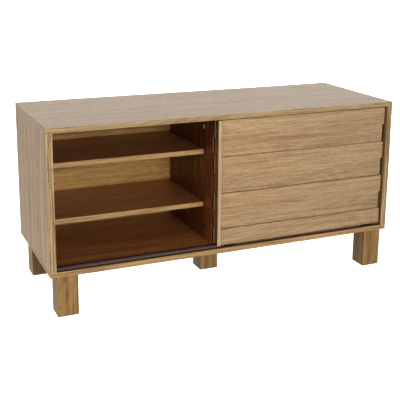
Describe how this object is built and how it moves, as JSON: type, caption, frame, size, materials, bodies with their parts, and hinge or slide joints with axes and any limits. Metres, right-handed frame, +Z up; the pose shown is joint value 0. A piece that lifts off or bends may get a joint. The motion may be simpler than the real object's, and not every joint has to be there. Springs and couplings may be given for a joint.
{
  "type": "television stand",
  "caption": "Low oak-effect television stand on short square legs, with an open shelved bay and slatted doors that slide in a double track.",
  "frame": {"origin": "on the floor under the middle of the carcass", "axes": "+Z up, front towards -Y, +X to the right as seen from the front"},
  "size_m": [1.1, 0.4, 0.54],
  "materials": {
    "oak_board": "semi-gloss oak foil with fine straight grain",
    "oak_door": "semi-gloss oak foil, grain across the door",
    "oak_leg": "semi-gloss oak foil, grain upright",
    "oak_back": "printed oak hardboard",
    "beech": "plain turned beech",
    "grey_track": "extruded track, light grey rib between dark brown grooves",
    "brown_track": "dark brown extruded track",
    "nylon": "black moulded nylon",
    "zinc_steel": "zinc plated",
    "rubber_buffer": "soft black rubber"
  },
  "bodies": {
    "carcass": {"top_panel": "oak_board", "bottom_panel": "oak_board", "left_side_panel": "oak_board", "right_side_panel": "oak_board", "divider_panel": "oak_board", "upper_shelf": "oak_board", "lower_shelf": "oak_board", "right_bay_shelf": "oak_board", "left_back_panel": "oak_back", "right_back_panel": "oak_back", "front_left_leg": "oak_leg", "front_right_leg": "oak_leg", "rear_left_leg": "oak_leg", "rear_right_leg": "oak_leg", "centre_leg": "oak_leg", "leg_glides": "nylon", "leg_hanger_bolts": "zinc_steel", "leg_insert_nuts": "zinc_steel", "bottom_track": "grey_track", "top_track": "brown_track", "track_screws": "zinc_steel", "shelf_pins": "zinc_steel", "cam_locks": "zinc_steel", "cam_bolts": "zinc_steel", "wood_dowels": "beech", "door_bumpers": "rubber_buffer"},
    "front_door": {"front_door_slat_1": "oak_door", "front_door_slat_2": "oak_door", "front_door_slat_3": "oak_door", "front_door_slat_4": "oak_door", "front_door_edge_strip": "oak_door", "front_door_backing": "oak_door", "front_door_top_guides": "nylon", "front_door_bottom_glides": "nylon", "front_door_screws": "zinc_steel"},
    "rear_door": {"rear_door_slat_1": "oak_door", "rear_door_slat_2": "oak_door", "rear_door_slat_3": "oak_door", "rear_door_slat_4": "oak_door", "rear_door_edge_strip": "oak_door", "rear_door_backing": "oak_door", "rear_door_top_guides": "nylon", "rear_door_bottom_glides": "nylon", "rear_door_screws": "zinc_steel"}
  },
  "joints": [
    {"name": "front_door_slide", "type": "slide", "parent": "carcass", "child": "front_door", "axis": [-1, 0, 0], "range_m": [0, 0.478]},
    {"name": "rear_door_slide", "type": "slide", "parent": "carcass", "child": "rear_door", "axis": [-1, 0, 0], "range_m": [0, 0.478]}
  ]
}
